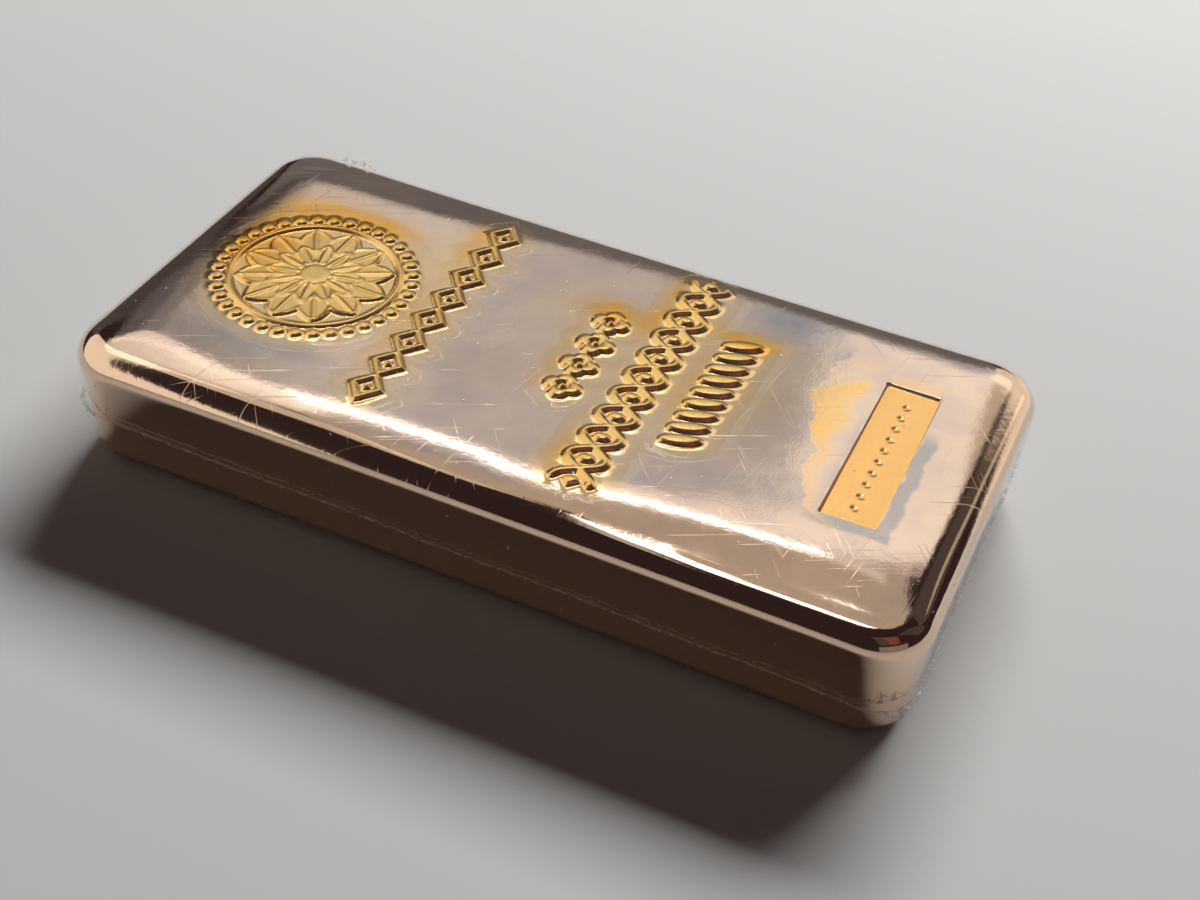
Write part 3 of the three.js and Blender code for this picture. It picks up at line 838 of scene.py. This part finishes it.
def pleats(x, y, z, strength):
    """Fine gathers that run up and down, in mm, and fade in and out along the side."""
    run = x * 1.0 + y * 1.7
    wave = np.sin(run * 2.3 + 0.6 * z) * 0.5 + np.sin(run * 4.1 - 0.9 * z + 1.3) * 0.35
    return strength * wave * np.abs(np.sin(run * 0.37 + 0.8))


# %% Build the film skin
bm = box_lattice()
lattice = np.array([vert.co[:] for vert in bm.verts])
x, y, z, outward, rows_in, on_top = pillow_points(lattice, grow=FILM_GAP)
seam_z = seam_height(x)
above = np.clip(1 - (z - seam_z) / (WIDEST_Z - seam_z), 0, 1)
below = np.clip(1 - (seam_z - z) / (seam_z - FILM_FOOT_Z), 0, 1)
tent = np.where(z > seam_z, above, below) * (~on_top)
gathers = pleats(x, y, z, 0.03 + 0.07 * facing_corner(outward))
push = tent * stand_off(x, outward) + gathers * tent ** 2
x = x + outward[:, 0] * push
y = y + outward[:, 1] * push
distance, _ = ornament(x, y)
bridge = FILM_BRIDGE * (1 - ease(distance, 0.2, 2.6))
over = crown(x, y, rows_in) - (FILM_GAP - FILM_TOP_GAP) * ease(rows_in, 3, ROLL_ROWS) + bridge
film_z = z + FLOOR_GAP + np.where(on_top, over, 0)
underneath = film_z - (FLOOR_GAP - FILM_GAP) * ease(-z, -0.5, 0.1)
film_z = np.where(z < 0.5, np.maximum(underneath, FILM_LOWEST), film_z)
move_points(bm, x, y, film_z)
bmesh.ops.recalc_face_normals(bm, faces=bm.faces)
film_skin = to_object(bm, "film_skin")
clinging = (1 - ease(distance, 0.5, 3.0)) * on_top
set_attribute(film_skin, "loose", 1 - 0.75 * clinging)

# %% [markdown]
# ## The seal and its crumpled ends
#
# The two sheets end in a narrow fin of welded film round the bar. It is made as a grid, long
# and three cells wide, that is laid round the outline, closed end to end and given a wall.
# The fin shrank unevenly, so its width and its level wander, and at the front right corner
# and on the back roll spare film stayed as a small crumpled ear.

# %% Seal fin
SEAM_STATIONS = 772           # along the seal
SEAM_WALL = 0.1               # mm, for two sheets of film
SEAM_ROOT = 0.05              # mm of the fin inside the film
SEAM_WIDTH = 0.30             # mm, where no spare film stayed
EAR_AT, EAR_REACH = 4.6, 3.4  # mm past the core rectangle's front right corner, where it did


def perimeter(count):
    """Places on the box lattice, walking once round it, as x and y in cells."""
    long, wide = BOX_CELLS[:2]
    walk = np.arange(count) * 2 * (long + wide) / count
    corners = np.cumsum([0, long, wide, long, wide])
    return np.interp(walk, corners, [0, long, long, 0, 0]), np.interp(walk, corners, [0, 0, wide, wide, 0])


def wander(run, *waves):
    """A sum of sine waves (length mm, height, phase) along a run in mm."""
    return sum(height * np.sin(2 * math.pi * run / length + phase) for length, height, phase in waves)


px, py = perimeter(SEAM_STATIONS)
fallen = (ROLL_FOOT - seam_height((px / px.max() - 0.5) * 2 * HALF_LENGTH)) / (ROLL_FOOT - BASE_TOP)
levels = SIDE_ROWS - LOWER_ROLL_ROWS - FLANK_ROWS * fallen
x, y, z, outward, _, _ = pillow_points(np.stack([px, py, levels], 1), grow=FILM_GAP)
run = np.cumsum(np.hypot(np.diff(x, prepend=x[-1]), np.diff(y, prepend=y[-1])))
ear = np.exp(-((x - core[0] - EAR_AT) / EAR_REACH) ** 2 - ((y + core[1] + EAR_AT) / EAR_REACH) ** 2)
corner = facing_corner(outward)
start = stand_off(x, outward) - SEAM_ROOT
width = SEAM_WIDTH + 0.02 * outward[:, 0] ** 2 + 0.18 * corner + 0.55 * ear
width = width * (1 + wander(run, (7.3, 0.14, 0.3), (2.9, 0.10, 1.1), (1.15, 0.08, 2.0)))
level = wander(run, (31.0, 0.10, 0.0), (4.4, 0.04, 1.0))
crumple = (0.03 + 0.02 * outward[:, 0] ** 2 + 0.10 * corner + 0.5 * ear) * wander(
    run, (2.3, 0.6, 0.5), (1.3, 0.5, 1.9), (0.8, 0.3, 0.2))

# %% Lay the fin round the bar
def ribbon(count, rows):
    """A grid of cells, with each point's station along it and its share across it."""
    bm = bmesh.new()
    bmesh.ops.create_grid(bm, x_segments=count, y_segments=rows, size=0.5)
    points = np.array([vert.co[:] for vert in bm.verts])
    return bm, np.round((points[:, 0] + 0.5) * count).astype(int), points[:, 1] + 0.5


def place_ribbon(bm, name, x, y, z, wall):
    """Moves a ribbon to its place, closes it where its ends meet, and gives it a wall, in mm."""
    move_points(bm, x, y, z)
    bmesh.ops.remove_doubles(bm, verts=bm.verts, dist=0.001 * MM)
    bmesh.ops.recalc_face_normals(bm, faces=bm.faces)
    bmesh.ops.solidify(bm, geom=bm.faces, thickness=wall * MM)
    return to_object(bm, name)


bm, station, share = ribbon(SEAM_STATIONS, 3)
station = station % SEAM_STATIONS
reach = start[station] + width[station] * share
rise = level[station] + crumple[station] * share
film_seam = place_ribbon(
    bm, "film_seam",
    x[station] + outward[station, 0] * reach,
    y[station] + outward[station, 1] * reach,
    z[station] + rise + FLOOR_GAP, SEAM_WALL)

# %% Crumpled pinch on the back roll
PINCH_FROM, PINCH_TO = -49.3, -43.3
PINCH_STATIONS, PINCH_ROWS = 48, 6
PINCH_ANGLE = math.radians(52)  # place on the roll, up from its widest line
PINCH_TALL = 0.62             # mm
PINCH_WALL = 0.07

bm, station, share = ribbon(PINCH_STATIONS, PINCH_ROWS)
run = PINCH_FROM + (PINCH_TO - PINCH_FROM) * station / PINCH_STATIONS
ends = np.sin(math.pi * station / PINCH_STATIONS) ** 0.5
tall = ends * (PINCH_TALL + wander(run, (2.7, 0.22, 0.4), (1.3, 0.16, 2.2), (0.6, 0.10, 1.0)))
fold = share * wander(run, (1.5, 0.30, 0.9), (0.75, 0.18, 0.0), (3.4, 0.25, 2.0))
lift = FILM_GAP + TOP_ROLL - 0.03 + tall * share
roll_y = core[1] + CORNER_RADIUS - TOP_ROLL
film_pinch = place_ribbon(
    bm, "film_pinch", run + fold * 0.5,
    roll_y + lift * math.cos(PINCH_ANGLE) - fold * math.sin(PINCH_ANGLE),
    WIDEST_Z + lift * math.sin(PINCH_ANGLE) - 0.1 + fold * math.cos(PINCH_ANGLE) + FLOOR_GAP, PINCH_WALL)

# %% [markdown]
# ## Clear film and milky welds
#
# Clear polyolefin film shows only by its gloss: it lets light straight through and mirrors
# a few hundredths of it, more at a glancing angle. A few specks of white dust lie on it.
# Where two sheets are welded and crumpled, the film turns milky and sparkles. The welds get
# a thin white body under the same gloss.

# %% Clear film
FILM_IOR = 1.45
DUST_PITCH = 3.6 * MM
DUST_SIZE = 0.04              # of the pitch, the radius of a speck
DUST_STRENGTH = 0.6


def film_gloss(tree, amount=1.0, **normal):
    """A clear sheet that mirrors a little on its outer side and lets everything else through."""
    gloss = add(tree, "ShaderNodeBsdfAnisotropic", {"Roughness": 0.08, **normal})
    through = add(tree, "ShaderNodeBsdfTransparent")
    fresnel = add(tree, "ShaderNodeFresnel", {"IOR": FILM_IOR, **normal})
    inner = add(tree, "ShaderNodeNewGeometry").outputs["Backfacing"]
    outer = add(tree, "ShaderNodeMath", {0: 1.0, 1: inner}, operation="SUBTRACT")
    share = add(tree, "ShaderNodeMath", {0: fresnel, 1: outer}, operation="MULTIPLY")
    share = add(tree, "ShaderNodeMath", {0: share, 1: amount}, operation="MULTIPLY")
    return add(tree, "ShaderNodeMixShader", {0: share, 1: through, 2: gloss})


clear, tree = new_material("clear_shrink_film")
loose = add(tree, "ShaderNodeAttribute", attribute_name="loose").outputs["Fac"]
spot = add(tree, "ShaderNodeTexCoord").outputs["Object"]
cells = add(tree, "ShaderNodeTexVoronoi", {"Vector": spot, "Scale": 1 / DUST_PITCH, "Randomness": 1.0})
speck = add(tree, "ShaderNodeMath", {0: cells.outputs["Distance"], 1: DUST_SIZE}, operation="LESS_THAN")
seen = add(tree, "ShaderNodeMath", {0: speck, 1: DUST_STRENGTH}, operation="MULTIPLY")
dust = add(tree, "ShaderNodeBsdfDiffuse", {"Color": linear("#ffffff")})
mix = add(tree, "ShaderNodeMixShader", {0: seen, 1: film_gloss(tree, loose), 2: dust})
add(tree, "ShaderNodeOutputMaterial", {"Surface": mix})
film_skin.data.materials.append(clear)
print(clear.name, len(tree.nodes), "nodes")

# %% Milky welds
MILK = linear("#f4f2f0")
CRAZING_MM, FOLD_MM, FOLD_HEIGHT = 1.1, 0.7, 0.06 * MM

milky, tree = new_material("welded_shrink_film")
spot = add(tree, "ShaderNodeTexCoord").outputs["Object"]
crazing = add(tree, "ShaderNodeTexNoise", {"Vector": spot, "Scale": 1 / (CRAZING_MM * MM), "Detail": 2.0})
milk = add(tree, "ShaderNodeMapRange", {
    "Value": crazing, "From Min": 0.42, "From Max": 0.62, "To Min": 0.10, "To Max": 0.55})
folds = add(tree, "ShaderNodeTexNoise", {"Vector": spot, "Scale": 1 / (FOLD_MM * MM), "Detail": 2.0})
wrinkle = add(tree, "ShaderNodeBump", {"Height": folds, "Distance": FOLD_HEIGHT, "Strength": 1.0})
body = add(tree, "ShaderNodeBsdfPrincipled", {
    "Base Color": MILK, "Roughness": 0.18, "IOR": FILM_IOR, "Normal": wrinkle})
glow = add(tree, "ShaderNodeBsdfTranslucent", {"Color": MILK, "Normal": wrinkle})
white = add(tree, "ShaderNodeMixShader", {0: 0.5, 1: body, 2: glow})
shine = film_gloss(tree, Normal=wrinkle)
mix = add(tree, "ShaderNodeMixShader", {0: milk, 1: shine, 2: white})
add(tree, "ShaderNodeOutputMaterial", {"Surface": mix})
film_seam.data.materials.append(milky)
film_pinch.data.materials.append(milky)
print(milky.name, len(tree.nodes), "nodes")

# %% What the film stands for
for piece in (film_skin, film_seam, film_pinch):
    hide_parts("shrink_film")
    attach(piece, "root")

# %% [markdown]
# ## Floor and light
#
# Polished metal shows the room more than itself, so most lamps here are cards: flat lights
# laid out as what the bar should mirror, that only mirroring surfaces see. A card or a disc
# is given by the directions it fills, seen from the bar, and a strip, which draws one thin
# highlight, by two places over the bar. Those behind the bar light its top, those low down
# on the left and the right light its ends, a red card tints the walls that face it, and
# three dim cards on the right and in front are there for whoever looks from behind.
#
# The floor is plain pale board, matt enough to mirror nothing. One soft key light behind
# the bar lights it. The bar's own shadow then falls in front of it, and because the front
# flank mirrors that strip of board, the flank stays deep brown, as a dark side of copper does.

# %% Floor
FLOOR_REACH = 3.0             # metres from the middle

bm = bmesh.new()
bmesh.ops.create_grid(bm, x_segments=1, y_segments=1, size=FLOOR_REACH)
floor = to_object(bm, "floor")
paper, tree = new_material("matt_pale_board")
matt = add(tree, "ShaderNodeBsdfPrincipled", {"Base Color": linear("#c8c8c6"), "Roughness": 0.85})
add(tree, "ShaderNodeOutputMaterial", {"Surface": matt})
floor.data.materials.append(paper)

# %% Kinds of lamp
MIDDLE = Vector((0, 0, 0.014))  # metres, a little under the bar's top
LAMP_REACH = 1.2              # metres from there
WHITE, WARM, COOL, RED = "#ffffff", "#fff9ea", "#ecf6ff", "#ff5040"


def direction(azimuth, elevation):
    """Azimuth in degrees from straight behind the bar, positive to its right."""
    a, e = math.radians(azimuth), math.radians(elevation)
    return Vector((math.sin(a) * math.cos(e), math.cos(a) * math.cos(e), math.sin(e)))


def lamp(name, place, side, away, size, radiance, colour, shape="RECTANGLE"):
    """An area lamp at a place seen from the bar: side is its first axis, and its back faces away."""
    data = bpy.data.lights.new(name, "AREA")
    data.shape = shape
    data.size, data.size_y = size
    area = size[0] * size[1] * (math.pi / 4 if shape == "ELLIPSE" else 1.0)
    data.energy = radiance * math.pi * area
    data.color = linear(colour)[:3]
    item = bpy.data.objects.new(name, data)
    turn = Matrix((side, away.cross(side), away)).transposed()
    item.matrix_world = Matrix.Translation(MIDDLE + place) @ turn.to_4x4()
    item.visible_camera = False
    item.visible_diffuse = False
    scene.collection.objects.link(item)
    return item


def card(name, first, last, depth, radiance, colour=WARM):
    """A flat card whose upper edge joins two directions and that reaches depth degrees down."""
    start, end = direction(*first) * LAMP_REACH, direction(*last) * LAMP_REACH
    side, upper = (end - start).normalized(), (start + end) / 2
    tall = 2 * LAMP_REACH * math.tan(math.radians(depth) / 2)
    place = upper + upper.cross(side).normalized() * tall / 2
    return lamp(name, place, side, upper.normalized(), ((end - start).length, tall), radiance, colour)


def disc(name, towards, size, tilt, radiance):
    """A warm round card in one direction, with two diameters in metres and a tilt in degrees."""
    away = direction(*towards)
    level = away.cross(Vector((0, 0, 1))).normalized()
    side = Matrix.Rotation(math.radians(tilt), 3, -away) @ level
    return lamp(name, away * LAMP_REACH, side, away, size, radiance, WARM, "ELLIPSE")


def strip(name, first, last, width, radiance):
    """A narrow white card between two places one metre over the bar, given as x and y."""
    start, end = Vector((*first, 1.0)), Vector((*last, 1.0))
    side, place = (end - start).normalized(), (start + end) / 2
    away = (place - side * place.dot(side)).normalized()
    return lamp(name, place, side, away, ((end - start).length, width), radiance, WHITE)


# %% Lamps
# Five cards that overlap, each reaching further left, make one that fades out there.
for step in range(5):
    card("back_wide_" + str(step), (-40 - 3 * step, 46), (5, 44.5), 17.5, 0.124, COOL)
card("back_right", (-14, 45.5), (5, 46.5), 16, 0.50)
card("back_low", (-41, 28), (0, 28), 27, 0.16, COOL)
card("back_upper", (-53, 61), (13, 59.5), 15.5, 0.46)
card("back_patch", (-21, 47.5), (-13, 47), 5, 0.50)
disc("medallion_window", (-33, 33.5), (0.30, 0.16), 0, 0.15)
card("left_high", (-86, 62), (-46, 66), 14, 0.60)
card("left_upper", (-60, 55), (-37, 44.8), 10, 0.75)
card("left_low", (-66, 30), (-42, 30), 40, 0.055, COOL)
disc("end_window", (22.5, 10.4), (1.46, 0.66), -54, 0.85)
card("end_line", (33, 34), (40, 31), 15, 0.35)
card("end_dim", (8, 54), (60, 40), 26, 0.05)
disc("left_window", (-112.4, 20.9), (3.45, 1.26), 40, 0.92)
card("front_right", (105, 58), (140, 58), 36, 0.14, RED)
card("front_low", (104, 18), (152, 18), 19, 0.20)
card("front_dim", (100, 58), (168, 58), 40, 0.04)
card("side_right", (48, 60), (95, 60), 48, 0.04)
strip("shoulder_line", (-0.68, 0.845), (-0.18, 0.91), 0.026, 6)
strip("shoulder_line_right", (-0.18, 0.90), (-0.05, 0.89), 0.06, 0.35)
strip("shoulder_line_end", (-0.92, 0.80), (-0.68, 0.845), 0.026, 0.4)
strip("roll_line", (-0.238, 0.13), (-0.206, 0.58), 0.026, 8)
strip("roll_line_end", (-0.233, -0.20), (-0.238, 0.15), 0.06, 0.5)
strip("roll_line_right", (-0.225, 0.20), (-0.065, 0.54), 0.12, 4)

key = card("key", (-24, 38), (28, 38), 14, 29, WHITE)
key.visible_diffuse = True
key.visible_glossy = False
print("lamps", len(bpy.data.lights))

# %% Room
world = bpy.data.worlds.new("studio")
scene.world = world
world.use_nodes = True
world.node_tree.nodes.clear()
room = add(world.node_tree, "ShaderNodeBackground", {"Color": linear("#ffd0dc"), "Strength": 0.03})
add(world.node_tree, "ShaderNodeOutputWorld", {"Surface": room})
